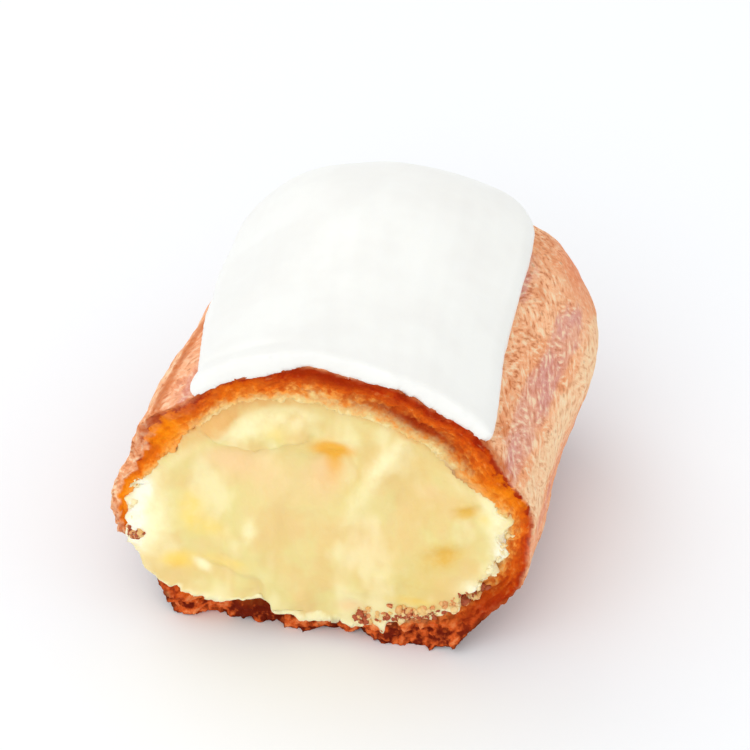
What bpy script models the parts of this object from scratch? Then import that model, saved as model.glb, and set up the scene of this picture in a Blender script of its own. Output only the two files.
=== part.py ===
"""The cut end of a vanilla eclair: a choux shell, the vanilla cream inside it and the icing on top.

Run it with blender --background --python part.py, or from Blender's text editor.
Metres, +Z up. The cut face looks along -Y, the rounded end of the eclair is at +Y and the piece
rests on Z = 0. The origin is at the middle of its length and width, on the surface it rests on.
"""

import math

import bmesh
import bpy
from mathutils import Vector, noise

# Driving dimensions
WIDTH = 0.0480
HEIGHT = 0.0378
FRONT_Y = -0.0221
FAR_Y = 0.0268
ICING_THICK = 0.0014
TOP_WALL = 0.0046
RIGHT_WALL = 0.0030
LEFT_WALL = 0.0023
BOTTOM_WALL = 0.0043
FAR_WALL = 0.0050
WALL_UNEVEN = 0.10
WALL_LUMP = 0.008
CREAM_GAP = 0.00045
ICING_GAP = 0.00045

# Where the wall is thicker or thinner: the middle and half width of each place as angles in
# degrees round the cross-section, and how much thicker it is there
WALL_HUMPS = (
    (32, 18, 0.0020),
    (155, 10, 0.0014),
    (116, 14, -0.0010),
    (-18, 10, 0.0010),
    (-124, 22, 0.0026),
)

# The outside: one cross-section, swept along Y and closed by a rounded end. The section's powers
# are 2 for an ellipse and more for a squarer corner, and they differ between right and left.
WIDEST_Z = 0.43 * HEIGHT
PRESSED = 0.0036
END_RADIUS = 0.022
END_POWER = 2.7
TOP_POWER = 1.80
TOP_LEAN = 0.18
BASE_POWER = 2.22
BASE_LEAN = -0.24
TAPER_Y = FAR_Y - END_RADIUS
CAVITY_TAPER = 0.8 * END_RADIUS
OVERSHOOT = 0.010

# Piping ridges, which run the whole length, and the uneven swell of the baked dough
RIDGES = 13
RIDGE_DEPTH = 0.0003
RIDGE_START = -2.3
RIDGE_TWIST = 0.25
RIDGE_TWIST_LONG = 0.017
SWELL = 0.0005
SWELL_SIZE = 0.016

# Where the outside is fuller or flatter: the middle and half width of each place as angles in
# degrees, its middle and half length along Y, and how far it stands out
SHOULDERS = (
    (24, 26, 0.0154, 0.013, 0.0013),
    (138, 24, 0.0200, 0.009, 0.0019),
    (172, 20, -0.0080, 0.018, -0.0008),
)

# The icing, as angles round the cross-section from +X. Towards the far end it lies further left.
ICING_RIGHT = math.radians(34.5)
ICING_LEFT = math.radians(128)
ICING_RIGHT_DRIFT = math.radians(14.5)
ICING_LEFT_DRIFT = math.radians(34)
ICING_RIGHT_POWER = 0.6
ICING_LEFT_POWER = 0.85
ICING_END_Y = FAR_Y - 0.0028
ICING_TIP = 0.010
ICING_TIP_POWER = 2.5
ICING_START = 0.0045
ICING_EDGE_WAVE = math.radians(1.6)
ICING_EDGE_SIZE = 0.012
ICING_CROWDING = 1.4
ICING_LEVELS = 0.85
ICING_LIP = 0.0020

# The cut: its slant across the piece, how ragged it is, and the gap in the wall on the lower left
CUT_SLANT = 0.13
CUT_RAGGED = 0.0004
CUT_LUMP = 0.006
TORN_BASE = 0.0013
TORN_SIZE = 0.0035
TORN_HIGH = 0.006
NOTCH_X = -0.0225
NOTCH_Z = 0.0062
NOTCH_DEEP = 0.0065
NOTCH_HALF = 0.0036

# The cream's front: it leans out low down, and its lobes hang over the base and out of the break
CREAM_SUNK = 0.0016
CREAM_LEAN = 0.0038
LEAN_Z = 0.20 * HEIGHT
LEAN_HALF = 0.36 * HEIGHT
CREAM_LUMPS = 0.0005
CREAM_LUMP_SIZE = 0.008
FOLD = 0.0011
FOLD_X = -0.006
FOLD_Z = 0.0275
FOLD_SLOPE = 0.18
FOLD_LONG = 0.008
FOLD_HALF = 0.0022
DIMPLE = 0.0018
DIMPLE_X = 0.0012
DIMPLE_Z = 0.0235
DIMPLE_HALF = 0.0032

# The lobes over the base are each a middle X, a half width and how far they stand out.
BREAK_LOBE = 0.0004
BASE_LOBES = ((0.0035, 0.0046, 0.0022), (-0.0045, 0.0028, 0.0014), (-0.0130, 0.0050, 0.0004))
LOBE_HIGH = 0.008
LOBE_STEEP = 1.2

# Where each pattern of noise starts, so that no two are alike
SWELL_SEED = 3.1
WALL_SEED = 7.7
CUT_SEED = 11.3
TORN_SEED = 5.9
CREAM_SEED = 2.3
ICING_SEED = 4.4


def bump(offset, half_width):
    """A smooth hump of height 1 that has faded out at about twice its half width."""
    return math.exp(-((offset / half_width) ** 2))


def angle_bump(theta, middle, half_width):
    """The same hump round the cross-section, with its middle and half width in degrees."""
    turn = math.remainder(theta - math.radians(middle), math.tau)
    return bump(turn, math.radians(half_width))


def waves(x, y, z, size, seed):
    """Smooth noise of about -1 to 1 whose lumps are about as wide as size."""
    return 2 * noise.noise(Vector((x, y, z)) / size + Vector((seed, seed * 1.7, -seed)))


def end_scale(y, start, end, power):
    """The share of the full cross-section that is left at y, down to nothing at the rounded end."""
    t = min(max((y - start) / (end - start), 0.0), 1.0)
    return (1 - t**power) ** (1 / power)


def section_radius(theta):
    """The distance from the widest line's middle to the outside at an angle round the section."""
    across, up = math.cos(theta), math.sin(theta)
    if up > 0:
        high, power = HEIGHT - WIDEST_Z, TOP_POWER + TOP_LEAN * across
    else:
        high, power = WIDEST_Z + PRESSED, BASE_POWER + BASE_LEAN * across
    return (abs(across / (WIDTH / 2)) ** power + abs(up / high) ** power) ** (-1 / power)


def ridge(theta, y):
    """The piping ridges, as a distance outwards."""
    twist = RIDGE_TWIST * math.sin(y / RIDGE_TWIST_LONG)
    return math.cos(RIDGES * theta + RIDGE_START + twist) * RIDGE_DEPTH


def swell(theta, y):
    """The uneven swell of the baked dough, as a distance outwards."""
    x, z = math.cos(theta) * WIDTH / 2, math.sin(theta) * HEIGHT / 2
    out = SWELL * waves(x, y, z, SWELL_SIZE, SWELL_SEED)
    for middle, half_width, middle_y, half_long, more in SHOULDERS:
        out += more * angle_bump(theta, middle, half_width) * bump(y - middle_y, half_long)
    return out


def on_body(theta, y, out=0.0):
    """The point of the baked outside at this angle and length, moved outwards by out."""
    scale = end_scale(y, TAPER_Y, FAR_Y, END_POWER)
    radius = scale * (section_radius(theta) + ridge(theta, y) + swell(theta, y)) + out
    return Vector((radius * math.cos(theta), y, WIDEST_Z + radius * math.sin(theta)))


def wall(theta, y):
    """The thickness of the choux wall: thin on the left, thicker on the right and underneath."""
    across, up = math.cos(theta), math.sin(theta)
    side = RIGHT_WALL if across > 0 else LEFT_WALL
    level = TOP_WALL if up > 0 else BOTTOM_WALL
    thick = math.sqrt((side * across) ** 2 + (level * up) ** 2)
    for middle, half_width, more in WALL_HUMPS:
        thick += more * angle_bump(theta, middle, half_width)
    x, z = across * WIDTH / 2, up * HEIGHT / 2
    return thick * (1 + WALL_UNEVEN * waves(x, y, z, WALL_LUMP, WALL_SEED))


def on_cavity(theta, y, inside=0.0):
    """The point of the cavity's wall at this angle and length, moved inwards by inside."""
    end = FAR_Y - FAR_WALL
    scale = end_scale(y, end - CAVITY_TAPER, end - inside, END_POWER)
    outer = section_radius(theta) + ridge(theta, y) + swell(theta, y)
    radius = scale * (outer - wall(theta, y) - inside)
    lift = max(0.0, math.sin(-theta)) * PRESSED
    return Vector((radius * math.cos(theta), y, WIDEST_Z + radius * math.sin(theta) + lift))


def slant(x):
    """How far the cut is set back by its slant: the right side lies further back than the left."""
    return CUT_SLANT * x


def cut_y(x, z):
    """Where the cut through the dough lies: clean at the top, torn at the base, broken at one side."""
    ragged = CUT_RAGGED * waves(x, 0, z, CUT_LUMP, CUT_SEED)
    torn = TORN_BASE * bump(z, TORN_HIGH) * waves(x, 0, z, TORN_SIZE, TORN_SEED)
    notch = NOTCH_DEEP * bump(math.hypot(x - NOTCH_X, z - NOTCH_Z), NOTCH_HALF)
    return FRONT_Y + slant(x) + ragged + torn + notch


def shaped_ball(name, segments, rings, place, collection):
    """A UV sphere whose poles are the two ends of a piece and whose rings go where place says.

    place takes the angle round the piece and the share of the way from its front to its far end.
    """
    mesh = bpy.data.meshes.new(name)
    ball = bmesh.new()
    bmesh.ops.create_uvsphere(ball, u_segments=segments, v_segments=rings, radius=1.0)
    for vertex in ball.verts:
        way = math.acos(max(-1.0, min(1.0, vertex.co.z))) / math.pi
        vertex.co = place(math.atan2(vertex.co.y, vertex.co.x), way)
    ball.to_mesh(mesh)
    ball.free()
    made = bpy.data.objects.new(name, mesh)
    collection.objects.link(made)
    return made


def along(way, front_y, far_y, front_share, start):
    """The length coordinate of a ring: a flat front, a straight run, then closer rings to the end."""
    if way < front_share:
        return front_y
    run = (way - front_share) / (1 - front_share)
    if run < 0.5:
        return front_y + (start - front_y) * run / 0.5
    return start + (far_y - start) * math.sin((run - 0.5) * math.pi)


def outside_point(theta, way):
    """The baked outside. Its flat front lies ahead of the cut, and its base is pressed flat."""
    front_share = 0.07
    y = along(way, FRONT_Y - OVERSHOOT, FAR_Y, front_share, TAPER_Y)
    point = on_body(theta, y)
    if way < front_share:
        point = Vector((0, y, WIDEST_Z)).lerp(point, way / front_share)
    point.z = max(point.z, 0.0)
    return point


def cavity_point(theta, way):
    """The hollow that holds the cream, open through the cut."""
    front_share = 0.08
    end = FAR_Y - FAR_WALL
    y = along(way, FRONT_Y - OVERSHOOT / 2, end, front_share, end - CAVITY_TAPER)
    point = on_cavity(theta, y)
    if way < front_share:
        point = Vector((0, y, WIDEST_Z)).lerp(point, way / front_share)
    return point


def cream_face_y(x, z):
    """The front of the cream: sunk at the top, swelling out low down, with a fold and a dimple."""
    lean = CREAM_SUNK - CREAM_LEAN * bump(z - LEAN_Z, LEAN_HALF)
    fold = FOLD * bump(z - FOLD_Z + FOLD_SLOPE * x, FOLD_HALF) * bump(x - FOLD_X, FOLD_LONG)
    dimple = DIMPLE * bump(math.hypot(x - DIMPLE_X, z - DIMPLE_Z), DIMPLE_HALF)
    lumps = CREAM_LUMPS * waves(x, 0, z, CREAM_LUMP_SIZE, CREAM_SEED)
    return FRONT_Y + slant(x) + lean - fold + dimple + lumps


def overhang(x, z, y):
    """How far the cream's side stands out past the cavity where no wall is in its way."""
    reach = BREAK_LOBE * bump(math.hypot(x - NOTCH_X, z - NOTCH_Z), 1.6 * NOTCH_HALF)
    if z < WIDEST_Z:
        for middle, half_width, far in BASE_LOBES:
            reach += far * bump(x - middle, half_width) * bump(z, LOBE_HIGH)
    clear = cut_y(x, z) - y - 2 * CREAM_GAP
    return min(reach, max(0.0, LOBE_STEEP * clear))


def cream_point(theta, way):
    """The cream: a front face, a lip that swells over the base and through the break, and a core."""
    face_share, lip_share = 0.34, 0.66
    rim = on_cavity(theta, FRONT_Y, CREAM_GAP)
    front = cream_face_y(rim.x, rim.z)
    lip_end = FRONT_Y + slant(rim.x) + NOTCH_DEEP
    core_end = FAR_Y - FAR_WALL - CREAM_GAP
    if way >= lip_share:
        run = (way - lip_share) / (1 - lip_share)
        return on_cavity(theta, lip_end + (core_end - lip_end) * math.sin(run * math.pi / 2), CREAM_GAP)
    lip = max(0.0, (way - face_share) / (lip_share - face_share))
    y = front + (lip_end - front) * lip
    point = on_cavity(theta, y, CREAM_GAP)
    out = overhang(rim.x, rim.z, y)
    point += Vector((math.cos(theta), 0, math.sin(theta))) * out
    if way >= face_share:
        return point
    share = math.sin(way / face_share * math.pi / 2)
    x, z = point.x * share, WIDEST_Z + (point.z - WIDEST_Z) * share
    return Vector((x, cream_face_y(x, z) * (1 - share**8) + front * share**8, z))


def icing_point(theta, way):
    """A strip that lies on the top with a rounded lip all round and runs on ahead of the cut."""
    front_y, far_y = FRONT_Y - OVERSHOOT, ICING_END_Y
    middle_y, half_run = (front_y + far_y) / 2, (far_y - front_y) / 2
    evenly = 1 - 2 * abs(theta) / math.pi
    across = math.copysign(1 - (1 - abs(evenly)) ** ICING_CROWDING, evenly)
    y = middle_y - half_run * math.cos(way * math.pi)
    spread = end_scale(y, far_y - ICING_TIP, far_y, ICING_TIP_POWER)
    spread *= end_scale(-y, -front_y - ICING_START, -front_y, ICING_TIP_POWER)
    back = max(0.0, (y - FRONT_Y) / (FAR_Y - FRONT_Y))
    right = ICING_RIGHT + ICING_RIGHT_DRIFT * back**ICING_RIGHT_POWER
    left = ICING_LEFT + ICING_LEFT_DRIFT * back**ICING_LEFT_POWER
    middle, half = (left + right) / 2, (left - right) / 2
    half += ICING_EDGE_WAVE * waves(math.copysign(WIDTH / 2, across), y, 0, ICING_EDGE_SIZE, ICING_SEED)
    angle = middle - half * spread * across
    levelled = ICING_THICK + ICING_LEVELS * (RIDGE_DEPTH - ridge(angle, y))
    gap = ICING_GAP / end_scale(y, TAPER_Y, FAR_Y, END_POWER)
    if theta <= 0:
        return on_body(angle, y, gap)
    from_edge = min(1.0, (1 - abs(across)) * half * spread * HEIGHT / 2 / ICING_LIP)
    return on_body(angle, y, gap + levelled * math.sqrt(1 - (1 - from_edge) ** 2))


def cutting_block(collection):
    """A block ahead of the piece. Its +Y face has the shape of the cut."""
    mesh = bpy.data.meshes.new("cut_tool")
    block = bmesh.new()
    bmesh.ops.create_cube(block, size=1.0)
    bmesh.ops.subdivide_edges(block, edges=block.edges[:], cuts=35, use_grid_fill=True)
    across, high = 1.2 * WIDTH, 1.2 * HEIGHT
    front = FRONT_Y - 1.5 * OVERSHOOT
    for vertex in block.verts:
        x, z = vertex.co.x * across, vertex.co.z * high + HEIGHT / 2
        share = 0.5 + vertex.co.y
        vertex.co = Vector((x, front + (cut_y(x, z) - front) * share, z))
    block.to_mesh(mesh)
    block.free()
    made = bpy.data.objects.new("cut_tool", mesh)
    made.hide_render = True
    made.display_type = "WIRE"
    collection.objects.link(made)
    return made


def subtract(target, tool):
    """Cuts tool from target with a Boolean modifier."""
    cut = target.modifiers.new(f"less_{tool.name}", "BOOLEAN")
    cut.operation = "DIFFERENCE"
    cut.object = tool
    cut.solver = "EXACT"


def give_material(target, name, colour, roughness):
    """A plain coloured, non-metal finish."""
    material = bpy.data.materials.new(name)
    material.use_nodes = True
    shader = material.node_tree.nodes["Principled BSDF"]
    shader.inputs["Base Color"].default_value = (*colour, 1.0)
    shader.inputs["Roughness"].default_value = roughness
    shader.inputs["Metallic"].default_value = 0.0
    material.diffuse_color = (*colour, 1.0)
    target.data.materials.append(material)
    target.data.shade_smooth()


def new_collection(name):
    """A collection in the scene."""
    made = bpy.data.collections.new(name)
    bpy.context.scene.collection.children.link(made)
    return made


def main():
    for old in list(bpy.data.objects):
        bpy.data.objects.remove(old)
    parts = new_collection("vanilla_eclair_cut_end")
    tools = new_collection("cutters")

    knife = cutting_block(tools)
    hollow = shaped_ball("cavity_tool", 48, 26, cavity_point, tools)
    hollow.hide_render = True
    hollow.display_type = "WIRE"

    shell = shaped_ball("choux_shell", 64, 36, outside_point, parts)
    subtract(shell, hollow)
    subtract(shell, knife)
    give_material(shell, "baked_choux", (0.62, 0.28, 0.11), 0.62)

    cream = shaped_ball("vanilla_cream", 48, 38, cream_point, parts)
    give_material(cream, "vanilla_cream", (0.86, 0.70, 0.33), 0.35)

    icing = shaped_ball("white_icing", 40, 34, icing_point, parts)
    subtract(icing, knife)
    give_material(icing, "white_icing", (0.93, 0.92, 0.88), 0.3)


if __name__ == "__main__":
    main()
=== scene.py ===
"""The looks of the cut end of a vanilla eclair: its baked crust, torn crumb, cream and icing.

Metres, +Z up. The cut looks along -Y, the rounded end is at +Y and the piece rests on Z = 0.
Sizes are given in millimetres times MM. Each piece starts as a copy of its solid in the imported
model, is remeshed finely, and is then shaped and marked for its finish.
"""

import logging
import math
from collections.abc import Mapping, Sequence
from dataclasses import dataclass
from enum import Enum

import bpy
import numpy as np
from mathutils import Matrix, Vector, noise
from mathutils.bvhtree import BVHTree


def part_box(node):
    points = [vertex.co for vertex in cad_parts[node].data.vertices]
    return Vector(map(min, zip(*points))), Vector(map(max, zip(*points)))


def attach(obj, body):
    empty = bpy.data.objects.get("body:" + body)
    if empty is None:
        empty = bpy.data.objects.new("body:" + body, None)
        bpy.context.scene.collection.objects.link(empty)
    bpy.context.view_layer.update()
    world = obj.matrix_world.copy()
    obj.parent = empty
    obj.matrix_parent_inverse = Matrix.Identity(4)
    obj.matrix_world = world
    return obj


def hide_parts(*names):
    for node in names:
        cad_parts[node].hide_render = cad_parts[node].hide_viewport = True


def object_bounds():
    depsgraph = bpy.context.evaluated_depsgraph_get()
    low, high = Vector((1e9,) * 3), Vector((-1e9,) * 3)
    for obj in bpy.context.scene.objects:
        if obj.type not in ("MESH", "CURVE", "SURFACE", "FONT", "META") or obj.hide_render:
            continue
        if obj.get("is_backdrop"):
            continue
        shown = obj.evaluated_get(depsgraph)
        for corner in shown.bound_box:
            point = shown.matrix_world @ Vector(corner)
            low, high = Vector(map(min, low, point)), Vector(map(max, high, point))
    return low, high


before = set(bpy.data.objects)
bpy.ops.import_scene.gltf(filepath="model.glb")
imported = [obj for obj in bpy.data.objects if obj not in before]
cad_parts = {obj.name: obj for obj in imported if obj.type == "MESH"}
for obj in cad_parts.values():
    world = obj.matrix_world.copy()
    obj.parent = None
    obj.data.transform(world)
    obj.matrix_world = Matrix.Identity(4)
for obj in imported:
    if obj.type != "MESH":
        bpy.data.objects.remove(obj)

Array = np.ndarray
Piece = bpy.types.Object
Material = bpy.types.Material
Tree = bpy.types.NodeTree
Node = bpy.types.Node
Socket = bpy.types.NodeSocket

MM = 0.001
LOG = logging.getLogger("vanilla_eclair")
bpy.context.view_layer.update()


class Slot(Enum):
    """The material slots."""

    CHOUX = "baked_choux"
    CREAM = "vanilla_cream"
    ICING = "white_icing"


# ---------------------------------------------------------------- numbers and noise


def linear(colour: str) -> tuple[float, float, float, float]:
    """Turns an sRGB hex colour to linear.

    Args:
        colour: Six hex digits after a hash.

    Returns:
        Red, green, blue and a full alpha.
    """
    parts = [int(colour[i : i + 2], 16) / 255 for i in (1, 3, 5)]
    red, green, blue = (
        c / 12.92 if c <= 0.04045 else ((c + 0.055) / 1.055) ** 2.4 for c in parts
    )
    return red, green, blue, 1.0


def per(size: float) -> float:
    """The scale of a pattern in metres whose grain is this size."""
    return 1.0 / size


def rise(values: Array, low: float, high: float) -> Array:
    """0 up to low, 1 from high on, and a smooth rise between them."""
    share = np.clip((values - low) / (high - low), 0.0, 1.0)
    return share * share * (3.0 - 2.0 * share)


def hump(values: Array, half_width: float) -> Array:
    """1 where the values are nought, faded out at about twice the half width."""
    return np.exp(-np.square(values / half_width))


@dataclass(frozen=True)
class Slope:
    """A smooth rise along some measure: 0 up to its start and 1 from its end on."""

    start: float
    end: float

    def over(self, values: Array) -> Array:
        """How far the rise has come at each value."""
        return rise(values, self.start, self.end)

    def before(self, values: Array) -> Array:
        """How much of the rise is still to come at each value."""
        return 1 - self.over(values)


@dataclass(frozen=True)
class Swell:
    """A soft hump along some measure, with its middle, half width and height."""

    middle: float
    half_width: float
    high: float = 1.0

    def over(self, values: Array) -> Array:
        """How high it stands at each value."""
        return self.high * hump(values - self.middle, self.half_width)

    def around(self, turn: Array) -> Array:
        """How high it stands at each angle in degrees, the short way round."""
        away = np.mod(turn - self.middle + 180.0, 360.0) - 180.0
        return self.high * hump(away, self.half_width)


def in_steps(points: Array, size: float, seed: float) -> list[list[float]]:
    """The points in steps of a pattern's size, from the place where its seed starts it."""
    return (points / size + np.array((seed, 1.7 * seed, -seed))).tolist()


def lumps(points: Array, size: float, seed: float, octaves: int = 1) -> Array:
    """Smooth noise.

    Args:
        points: One row of three coordinates for each place.
        size: How wide a lump is, in the coordinates' own unit.
        seed: Where the pattern starts.
        octaves: How many finer patterns there are, each half as wide and half as strong.

    Returns:
        About -1 to 1 for each place.
    """
    return np.array(
        [2.0 * noise.fractal(p, 1.0, 2.0, octaves) for p in in_steps(points, size, seed)]
    )


def crags(points: Array, size: float, seed: float, octaves: int = 3) -> Array:
    """Sharp-crested noise of about -1 to 1, as lumps gives its own."""
    rows = in_steps(points, size, seed)
    return np.array([1.6 * noise.turbulence(p, octaves, True) - 1.0 for p in rows])


@dataclass(frozen=True)
class Relief:
    """Noise that raises a surface: how high and wide it is, and where and how fine it runs."""

    high: float
    size: float
    seed: float
    octaves: int = 1

    def lumps(self, points: Array) -> Array:
        """How far smooth noise raises each point."""
        return self.high * lumps(points, self.size, self.seed, self.octaves)


def pores(points: Array, size: float, seed: float) -> Array:
    """Rounded pits: 1 in the middle of each and 0 on the wall between two of them."""
    near = (noise.voronoi(place)[0] for place in in_steps(points, size, seed))
    return np.clip(np.array([second - first for first, second, *_ in near]) * 1.6, 0.0, 1.0)


# ---------------------------------------------------------------- meshes


def select_only(piece: Piece) -> None:
    """Deselects everything, then selects one piece and makes it active."""
    bpy.ops.object.select_all(action="DESELECT")
    piece.select_set(True)
    bpy.context.view_layer.objects.active = piece


def copy_node(node: str, name: str) -> Piece:
    """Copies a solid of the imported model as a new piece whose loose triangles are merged.

    Args:
        node: The solid's name.
        name: The new piece's name.

    Returns:
        The new piece.
    """
    piece = bpy.data.objects.new(name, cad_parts[node].data.copy())
    bpy.context.scene.collection.objects.link(piece)
    piece.data.materials.clear()
    select_only(piece)
    bpy.ops.mesh.customdata_custom_splitnormals_clear()
    bpy.ops.object.mode_set(mode="EDIT")
    bpy.ops.mesh.select_all(action="SELECT")
    bpy.ops.mesh.remove_doubles(threshold=0.001 * MM)
    bpy.ops.object.mode_set(mode="OBJECT")
    return piece


def apply_modifier(piece: Piece, kind: str, settings: Mapping[str, object]) -> None:
    """Adds a modifier with its settings and applies it."""
    select_only(piece)
    modifier = piece.modifiers.new(kind.lower(), kind)
    for name, value in settings.items():
        setattr(modifier, name, value)
    bpy.ops.object.modifier_apply(modifier=modifier.name)


def remesh(piece: Piece, voxel: float) -> None:
    """Gives a closed piece an even mesh of small squares."""
    apply_modifier(piece, "REMESH", {"mode": "VOXEL", "voxel_size": voxel, "adaptivity": 0.0})


def points_of(piece: Piece) -> Array:
    """The piece's vertices, one row each."""
    found = np.empty(len(piece.data.vertices) * 3)
    piece.data.vertices.foreach_get("co", found)
    return found.reshape(-1, 3)


def normals_of(piece: Piece) -> Array:
    """The outward normal at each vertex."""
    found = np.empty(len(piece.data.vertices) * 3)
    piece.data.vertex_normals.foreach_get("vector", found)
    return found.reshape(-1, 3)


def move_points(piece: Piece, points: Array) -> None:
    """Puts the piece's vertices at these points."""
    piece.data.vertices.foreach_set("co", points.ravel())
    piece.data.update()


def face_middles(piece: Piece) -> Array:
    """The middle of each face, one row each."""
    found = np.empty(len(piece.data.polygons) * 3)
    piece.data.polygons.foreach_get("center", found)
    return found.reshape(-1, 3)


def edit_faces(piece: Piece, chosen: Array) -> None:
    """Enters edit mode with the chosen faces selected and no other."""
    select_only(piece)
    bpy.ops.object.mode_set(mode="EDIT")
    bpy.ops.mesh.select_mode(type="FACE")
    bpy.ops.mesh.select_all(action="DESELECT")
    bpy.ops.object.mode_set(mode="OBJECT")
    piece.data.polygons.foreach_set("select", chosen.astype(bool))
    bpy.ops.object.mode_set(mode="EDIT")


def refine(piece: Piece, chosen: Array) -> None:
    """Halves the size of the chosen faces."""
    edit_faces(piece, chosen)
    bpy.ops.mesh.subdivide(number_cuts=1)
    bpy.ops.object.mode_set(mode="OBJECT")


def thin_out(piece: Piece, chosen: Array, keep: float) -> None:
    """Leaves this share of the chosen faces, where nobody looks."""
    edit_faces(piece, chosen)
    bpy.ops.mesh.decimate(ratio=keep)
    bpy.ops.object.mode_set(mode="OBJECT")


def soften(piece: Piece, turns: int) -> None:
    """Evens out the facets of the solid and the steps of the remesh, and keeps its size.

    Args:
        piece: The piece.
        turns: How often each vertex moves half way to its neighbours' middle and back out.
    """
    mesh = piece.data
    edges = np.empty(len(mesh.edges) * 2, dtype=np.int64)
    mesh.edges.foreach_get("vertices", edges)
    first, second = edges.reshape(-1, 2).T
    points = points_of(piece)
    count = np.bincount(first, minlength=len(points)) + np.bincount(second, minlength=len(points))
    for share in (0.5, -0.53) * turns:
        total = np.zeros_like(points)
        for axis in range(3):
            total[:, axis] = np.bincount(first, points[second, axis], len(points))
            total[:, axis] += np.bincount(second, points[first, axis], len(points))
        points = points + (total / np.maximum(count, 1)[:, None] - points) * share
    move_points(piece, points)


def mark(piece: Piece, name: str, values: Array) -> None:
    """Stores a value, or a row of three, at each vertex for the finish to read."""
    kind, key = ("FLOAT_VECTOR", "vector") if values.ndim == 2 else ("FLOAT", "value")
    made = piece.data.attributes.new(name, kind, "POINT")
    made.data.foreach_set(key, values.astype(np.float32).ravel())


def finish_piece(piece: Piece, material: Material, node: str | None) -> None:
    """Gives a shaped piece its finish, makes it ride on the root and hides the solid it stands
    for.
    """
    piece.data.materials.clear()
    piece.data.materials.append(material)
    piece.data.shade_smooth()
    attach(piece, "root")
    if node is not None:
        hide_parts(node)
    piece.data.calc_loop_triangles()
    LOG.info("%s: %d triangles", piece.name, len(piece.data.loop_triangles))


# ---------------------------------------------------------------- the skin, as the solid has it


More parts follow.
